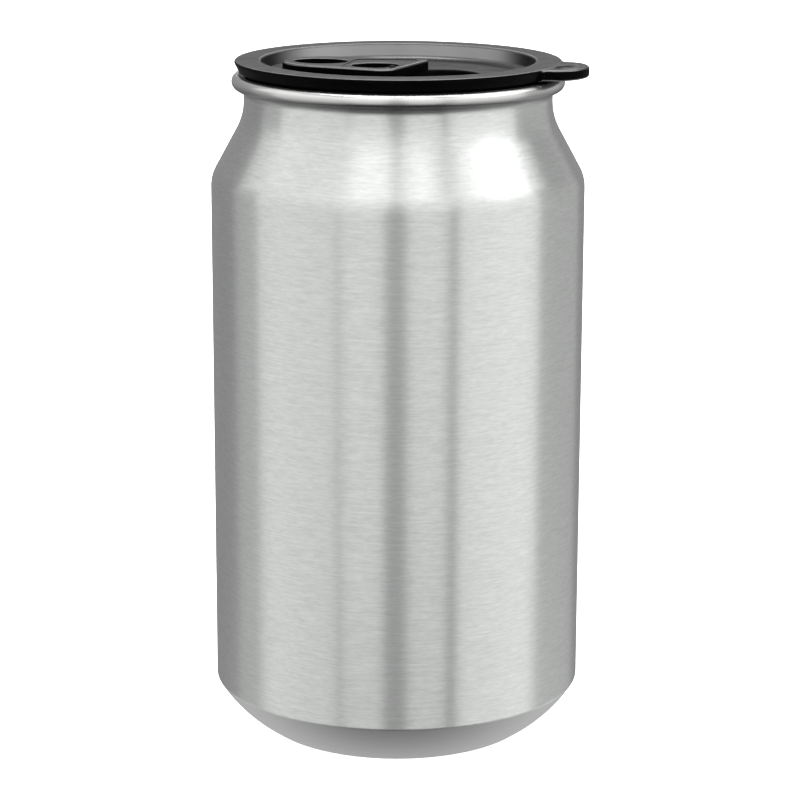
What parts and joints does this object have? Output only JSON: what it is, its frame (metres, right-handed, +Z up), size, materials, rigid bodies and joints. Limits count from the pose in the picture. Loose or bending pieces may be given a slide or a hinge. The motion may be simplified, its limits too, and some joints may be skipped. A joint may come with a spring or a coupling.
{
  "type": "lidded aluminium drinks can",
  "caption": "Necked brushed-aluminium drinks can, shut with a recessed black plastic lid that has a thumb tab, a ring pull and a blind sip pocket.",
  "frame": {"origin": "centre of the can's base, on the surface it stands on", "axes": "+Z up along the can's axis; the lid's thumb tab points 17 degrees from +X towards -Y, and the pictured side faces -Y"},
  "size_m": [0.0662, 0.0662, 0.1213],
  "materials": {
    "aluminium": "bare aluminium, finely brushed round the can, soft satin gloss; smoother on the slope below the crease and on the rolled rim",
    "black_plastic": "moulded black plastic, fine satin surface, slightly shiny on rounded edges"
  },
  "bodies": {
    "root": {"can_body": "aluminium", "lid": "black_plastic", "ring_pull": "black_plastic"}
  },
  "joints": []
}
